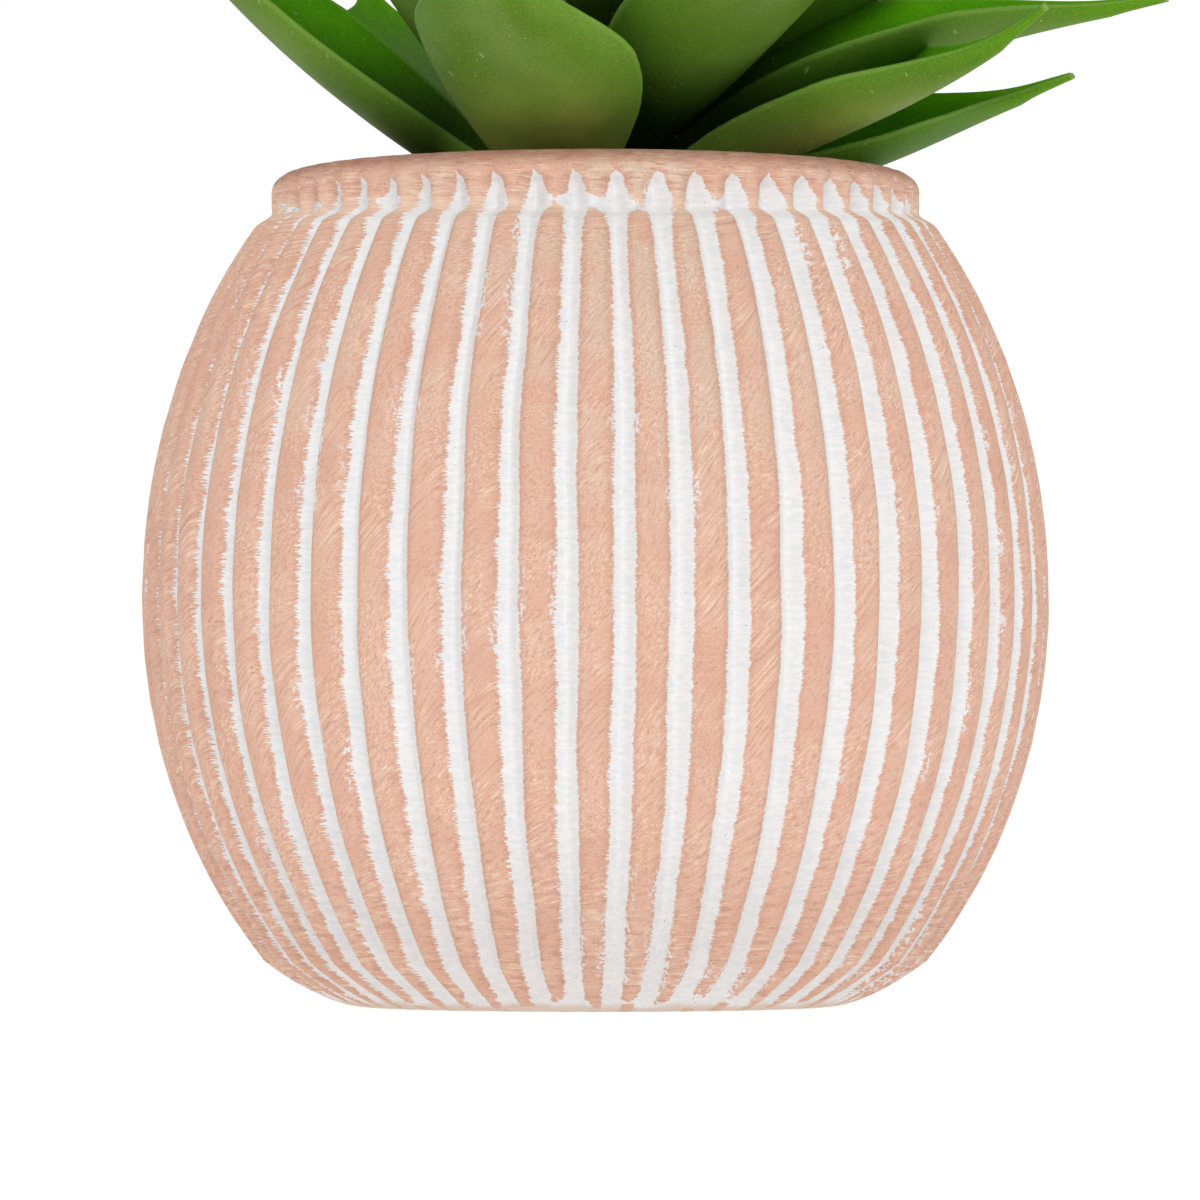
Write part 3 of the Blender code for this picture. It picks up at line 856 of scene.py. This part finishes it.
def leaf_surfaces(leaf, seed):
    """Two grids of points, for the upper and the lower face, and each column's share across."""
    spine = leaf_spine(leaf)
    rows = np.linspace(0.0, 1.0, ROWS_ALONG_LEAF + 1)
    columns = np.sin(np.linspace(-1.0, 1.0, POINTS_ACROSS_LEAF + 1) * math.pi / 2)
    upper = np.array([[leaf_point(leaf, spine, a, c, seed) for c in columns] for a in rows])
    along_step = np.gradient(upper, axis=0)
    across_step = np.gradient(upper, axis=1)
    normal = np.cross(across_step, along_step)
    normal /= np.linalg.norm(normal, axis=2, keepdims=True)
    if normal[:, :, 2].mean() < 0.0:
        normal = -normal
    depth = np.array([
        [leaf_thickness(leaf, a, c, leaf_half_width(leaf, a)) for c in columns] for a in rows
    ])
    lower = upper - normal * depth[:, :, None]
    return upper, lower, rows, columns


def make_leaf(number, leaf, material):
    seed = number * SEED_STEP
    upper, lower, rows, columns = leaf_surfaces(leaf, seed)
    bm = bmesh.new()
    width = len(columns)
    turn = Matrix.Rotation(math.radians(leaf.azimuth), 4, "Z")
    top = [[bm.verts.new(turn @ Vector(point) * MM) for point in row] for row in upper]
    bottom = []
    for index, row in enumerate(lower):
        inner = [bm.verts.new(turn @ Vector(point) * MM) for point in row[1:-1]]
        bottom.append([top[index][0], *inner, top[index][-1]])
    uv = bm.loops.layers.uv.new("leaf")
    under = bm.loops.layers.float.new("under")

    def add_face(corners, spots, side):
        face = bm.faces.new(corners)
        face.smooth = True
        for loop, spot in zip(face.loops, spots):
            loop[uv].uv = spot
            loop[under] = side

    for row in range(len(rows) - 1):
        for column in range(width - 1):
            places = ((row, column), (row, column + 1), (row + 1, column + 1), (row + 1, column))
            spots = [(columns[c], rows[r]) for r, c in places]
            add_face([top[r][c] for r, c in places], spots, 0.0)
            add_face([bottom[r][c] for r, c in places][::-1], spots[::-1], 1.0)
    for row, flip in ((0, 1), (len(rows) - 1, -1)):
        ring = top[row] + bottom[row][-2:0:-1]
        spots = [(c, rows[row]) for c in columns]
        spots += spots[-2:0:-1]
        add_face(ring[::flip][::-1], spots[::flip][::-1], 1.0)
    mesh = bpy.data.meshes.new(f"leaf_blade_{number:02d}")
    bmesh.ops.recalc_face_normals(bm, faces=bm.faces[:])
    bm.to_mesh(mesh)
    bm.free()
    mesh.materials.append(material)
    for name, value in (("seed", seed), ("warmth", leaf.warmth), ("grey", leaf.grey)):
        shade = mesh.attributes.new(name, "FLOAT", "POINT")
        shade.data.foreach_set("value", [value] * len(mesh.vertices))
    blade = bpy.data.objects.new(mesh.name, mesh)
    bpy.context.scene.collection.objects.link(blade)
    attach(blade, "root")
    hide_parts(f"leaf_{number:02d}")


def make_rosette():
    material = leaf_skin()
    for number, leaf in enumerate([*OUTER_LEAVES, *inner_leaves()], start=1):
        make_leaf(number, leaf, material)


def dress_frame_parts():
    """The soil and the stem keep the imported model's shapes."""
    for name, material in (("soil", potting_mix()), ("stem", stem_skin())):
        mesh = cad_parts[name].data
        mesh.materials.clear()
        mesh.materials.append(material)


def make_stage():
    """A wide, pale floor that goes on into white surroundings, as in a product studio."""
    shader = Shader("studio_floor")
    tone = shader.noise(shader.place(), scale=0.002, detail=0.0)
    material = shader.finish(
        Base_Color=shader.blend(tone, colour(172, 172, 172), colour(176, 176, 176)),
        Roughness=1.0,
        Specular_IOR_Level=0.0,
        Emission_Color=(1.0, 1.0, 1.0, 1.0),
        Emission_Strength=FLOOR_GLOW,
    )
    bpy.ops.mesh.primitive_circle_add(vertices=96, radius=FLOOR_RADIUS, fill_type="NGON")
    floor = bpy.context.object
    floor.name = "studio_floor"
    floor.data.materials.append(material)


def fading(nodes, span, ends):
    """A node whose result goes smoothly from one end to the other as its value crosses a span."""
    node = nodes.new("ShaderNodeMapRange")
    node.interpolation_type = "SMOOTHSTEP"
    for name, value in zip(("From Min", "From Max", "To Min", "To Max"), (*span, *ends)):
        node.inputs[name].default_value = value
    return node


def make_light():
    """White surroundings, dimmer above and at the sides, and one wide soft lamp at the front."""
    world = bpy.data.worlds.new("studio")
    bpy.context.scene.world = world
    world.use_nodes = True
    nodes = world.node_tree.nodes
    links = world.node_tree.links
    direction = nodes.new("ShaderNodeTexCoord")
    split = nodes.new("ShaderNodeSeparateXYZ")
    upwards = fading(nodes, CEILING_FADE, (HORIZON_LIGHT, CEILING_LIGHT))
    aside = nodes.new("ShaderNodeMath")
    aside.operation = "ABSOLUTE"
    sideways = fading(nodes, SIDE_FADE, (1.0, SIDE_LIGHT))
    product = nodes.new("ShaderNodeMath")
    product.operation = "MULTIPLY"
    nodes["Background"].inputs["Color"].default_value = (1.0, 1.0, 1.0, 1.0)
    links.new(direction.outputs["Generated"], split.inputs["Vector"])
    links.new(split.outputs["Z"], upwards.inputs["Value"])
    links.new(split.outputs["X"], aside.inputs[0])
    links.new(aside.outputs[0], sideways.inputs["Value"])
    links.new(upwards.outputs["Result"], product.inputs[0])
    links.new(sideways.outputs["Result"], product.inputs[1])
    links.new(product.outputs[0], nodes["Background"].inputs["Strength"])

    lamp = bpy.data.lights.new("key", "AREA")
    lamp.size = KEY_SIZE
    lamp.energy = KEY_POWER
    light = bpy.data.objects.new("key", lamp)
    light.location = KEY_PLACE
    back = Vector(KEY_PLACE) - Vector(KEY_AIM)
    light.rotation_euler = back.to_track_quat("Z", "Y").to_euler()
    light.visible_camera = False
    bpy.context.scene.collection.objects.link(light)


def make_camera():
    data = bpy.data.cameras.new("camera")
    data.lens = CAMERA_LENS
    data.clip_start = 0.05
    data.clip_end = 50.0
    camera = bpy.data.objects.new("camera", data)
    camera.location = CAMERA_PLACE
    back = Vector(CAMERA_PLACE) - Vector(CAMERA_AIM)
    camera.rotation_euler = back.to_track_quat("Z", "Y").to_euler()
    bpy.context.scene.collection.objects.link(camera)
    bpy.context.scene.camera = camera


bpy.context.scene.view_settings.view_transform = "Standard"
make_camera()
make_light()
make_stage()
make_pot()
make_rosette()
dress_frame_parts()
